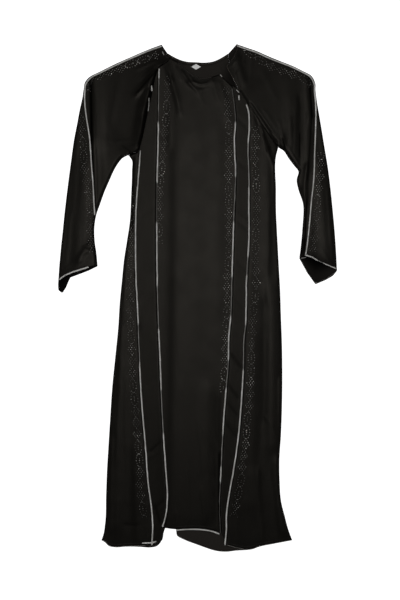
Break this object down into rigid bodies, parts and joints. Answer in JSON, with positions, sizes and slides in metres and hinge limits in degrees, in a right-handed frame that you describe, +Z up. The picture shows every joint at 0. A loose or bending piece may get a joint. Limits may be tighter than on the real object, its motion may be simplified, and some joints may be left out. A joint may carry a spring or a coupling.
{
  "type": "abaya cloak",
  "caption": "Black full-length abaya laid flat, with raglan sleeves, princess seams piped in silver, rhinestone bands and a bound round neck.",
  "frame": {"origin": "on the surface that the cloak lies on, under the middle of its bounding box", "axes": "+X to the right of the front as it is seen from above, +Y from the hem towards the neck, +Z up out of the front"},
  "size_m": [0.7692, 1.4, 0.0102],
  "materials": {
    "black_cloth": "near-black satin-faced crepe with a low sheen",
    "cloth_reverse": "duller brownish black reverse of the same crepe",
    "silver_piping": "silver lurex piping cord, ribbed and glinting",
    "neck_binding": "narrow bias binding with a soft light edge",
    "label_ribbon": "bare white satin ribbon"
  },
  "bodies": {
    "root": {"back": "cloth_reverse", "centre_front": "black_cloth", "strip_left": "black_cloth", "strip_right": "black_cloth", "side_front_left": "black_cloth", "side_front_right": "black_cloth", "sleeve_back_left": "black_cloth", "sleeve_back_right": "black_cloth", "sleeve_front_left": "black_cloth", "sleeve_front_right": "black_cloth", "piping_centre_left": "silver_piping", "piping_centre_right": "silver_piping", "piping_side_left": "silver_piping", "piping_side_right": "silver_piping", "piping_sleeve_left": "silver_piping", "piping_sleeve_right": "silver_piping", "piping_cuff_left": "silver_piping", "piping_cuff_right": "silver_piping", "piping_hem_centre": "silver_piping", "binding_back": "neck_binding", "binding_front": "neck_binding", "binding_left": "neck_binding", "binding_right": "neck_binding", "neck_label": "label_ribbon"}
  },
  "joints": []
}
